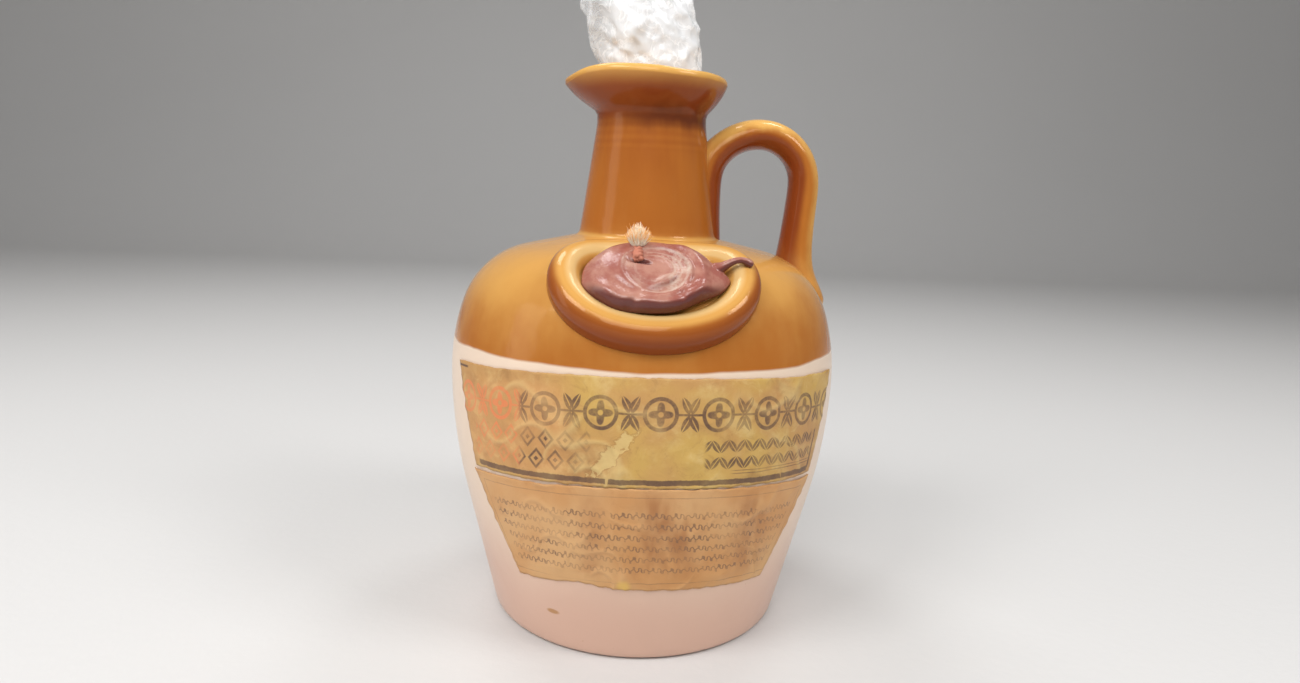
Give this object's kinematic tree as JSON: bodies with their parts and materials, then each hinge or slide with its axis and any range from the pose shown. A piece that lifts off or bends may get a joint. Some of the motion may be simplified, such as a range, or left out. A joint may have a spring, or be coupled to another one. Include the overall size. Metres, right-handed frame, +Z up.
{
  "type": "stoneware liquor flagon",
  "caption": "Round-shouldered glazed stoneware liquor flagon with a pouring lip, loop handle, stamped wax seal on a clay ring, paper labels and a film-wrapped cork stopper that pulls out.",
  "frame": {"origin": "middle of the foot, on the surface that the flagon stands on", "axes": "+Z up along the flagon's axis, -Y to the seal and labels, -X to the pouring lip, +X to the handle"},
  "size_m": [0.118, 0.1204, 0.1931],
  "materials": {
    "stoneware": "glossy honey-brown glaze over a cream glazed lower half",
    "brown_glaze": "glossy honey-brown glaze",
    "sealing_wax": "dull red-brown sealing wax, plastic stands in for the wax's density",
    "hemp_cord": "frayed orange cord",
    "label_paper": "aged ochre paper",
    "cork": null,
    "white_plastic": "white moulded plastic",
    "clear_film": "crumpled clear film"
  },
  "bodies": {
    "jug": {"jug_body": "stoneware", "handle": "brown_glaze", "seal_ring": "brown_glaze", "wax_seal": "sealing_wax", "seal_cord": "hemp_cord", "header_label": "label_paper", "text_label": "label_paper"},
    "stopper": {"stopper_cork": "cork", "stopper_head": "white_plastic", "film_wrap": "clear_film"}
  },
  "joints": [
    {"name": "stopper_pull", "type": "slide", "parent": "jug", "child": "stopper", "axis": [0, 0, 1], "range_m": [0, 0.08]}
  ]
}
